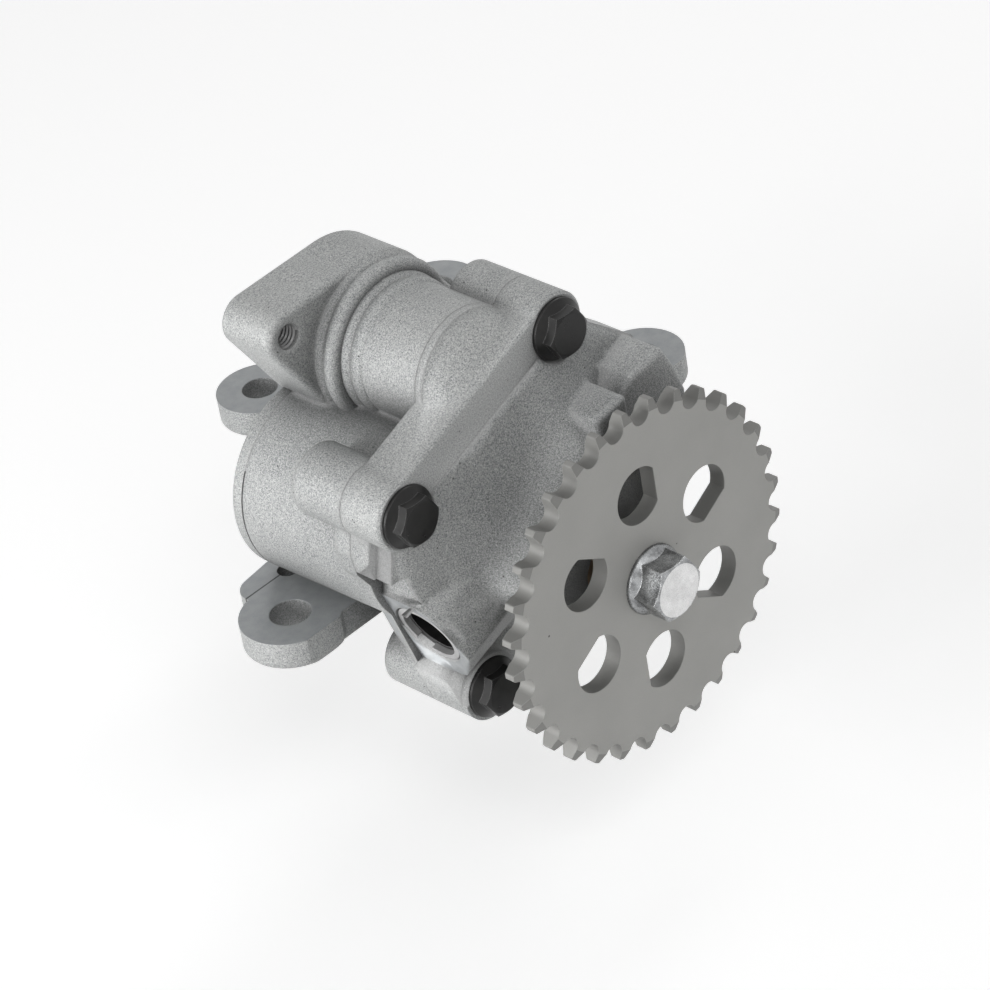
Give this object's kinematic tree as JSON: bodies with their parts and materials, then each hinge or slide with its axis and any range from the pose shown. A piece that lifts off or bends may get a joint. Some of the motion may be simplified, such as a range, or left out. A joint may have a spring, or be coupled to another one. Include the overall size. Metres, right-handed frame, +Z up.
{
  "type": "engine oil pump",
  "caption": "Chain-driven external gear oil pump in die-cast aluminium, with a sprocket, suction flange, relief valve and feet for the crankcase.",
  "frame": {"origin": "on the drive shaft's axis, in the middle plane of the chain sprocket, level with the crankcase face", "axes": "+Y runs along the drive shaft into the pump, +X points right as the sprocket is seen, +Z points up towards the crankcase"},
  "size_m": [0.1385, 0.1485, 0.1117],
  "materials": {
    "cast_aluminium": "matt die-cast",
    "sintered_steel": "satin grey",
    "gear_steel": "ground",
    "bronze": "machined",
    "black_steel": "black oxide",
    "zinc_steel": "bright zinc"
  },
  "bodies": {
    "housing": {"front_housing": "cast_aluminium", "pump_body": "cast_aluminium", "rear_cover": "cast_aluminium", "housing_bolts": "black_steel", "cover_screws": "black_steel", "housing_dowels": "gear_steel", "front_shaft_bush": "bronze", "body_shaft_bush": "bronze", "idler_pin": "gear_steel", "gallery_plug": "gear_steel", "relief_seat": "gear_steel", "relief_ring": "gear_steel", "relief_spring": "gear_steel"},
    "drive": {"sprocket": "sintered_steel", "sprocket_bolt": "zinc_steel", "drive_shaft": "gear_steel", "drive_gear": "sintered_steel", "drive_key": "gear_steel"},
    "idler": {"idler_gear": "sintered_steel", "idler_bush": "bronze"},
    "relief": {"relief_piston": "gear_steel"}
  },
  "joints": [
    {"name": "drive_spin", "type": "hinge", "parent": "housing", "child": "drive", "pos_m": [0, 0, 0], "axis": [0, 1, 0], "continuous": true},
    {"name": "idler_spin", "type": "hinge", "parent": "housing", "child": "idler", "pos_m": [-0.02746, 0.055, 0.0183], "axis": [0, 1, 0], "continuous": true},
    {"name": "relief_slide", "type": "slide", "parent": "housing", "child": "relief", "axis": [-0.9426, 0, -0.3338], "range_m": [0, 0.006], "stiffness_N_per_m": 3000, "springref_m": -0.01, "deforming": ["relief_spring"]}
  ],
  "couplings": [
    {"joint": "idler_spin", "follows": "drive_spin", "ratio": -1}
  ]
}
